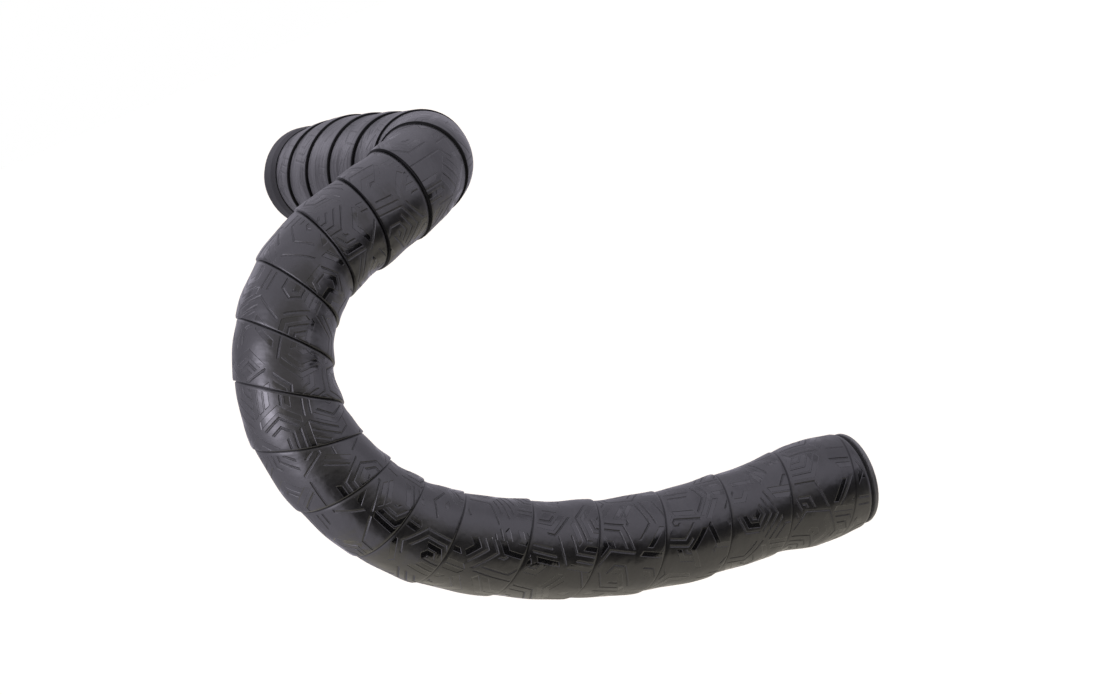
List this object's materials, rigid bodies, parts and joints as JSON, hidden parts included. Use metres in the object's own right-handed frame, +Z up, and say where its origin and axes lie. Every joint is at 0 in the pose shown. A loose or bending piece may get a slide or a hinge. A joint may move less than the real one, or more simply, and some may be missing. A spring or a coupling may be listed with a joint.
{
  "type": "wrapped drop handlebar side",
  "caption": "Left side of a racing bicycle's drop handlebar: a bent tube wound with padded grip tape, closed by a push-in end plug and a finishing band.",
  "frame": {"origin": "centre of the bar's square cut end on the stem side", "axes": "+X inboard along the tops to the stem, +Y forward, +Z up as the bar sits on a bicycle"},
  "size_m": [0.1649, 0.1826, 0.1852],
  "materials": {
    "bar": "satin, dark anodised",
    "tape": "satin polyurethane, embossed with fine lines",
    "band": "satin film",
    "plug": "semi-gloss moulded plastic"
  },
  "bodies": {
    "root": {"handlebar_tube": "bar", "bar_tape": "tape", "finishing_tape": "band", "bar_end_plug": "plug"}
  },
  "joints": []
}
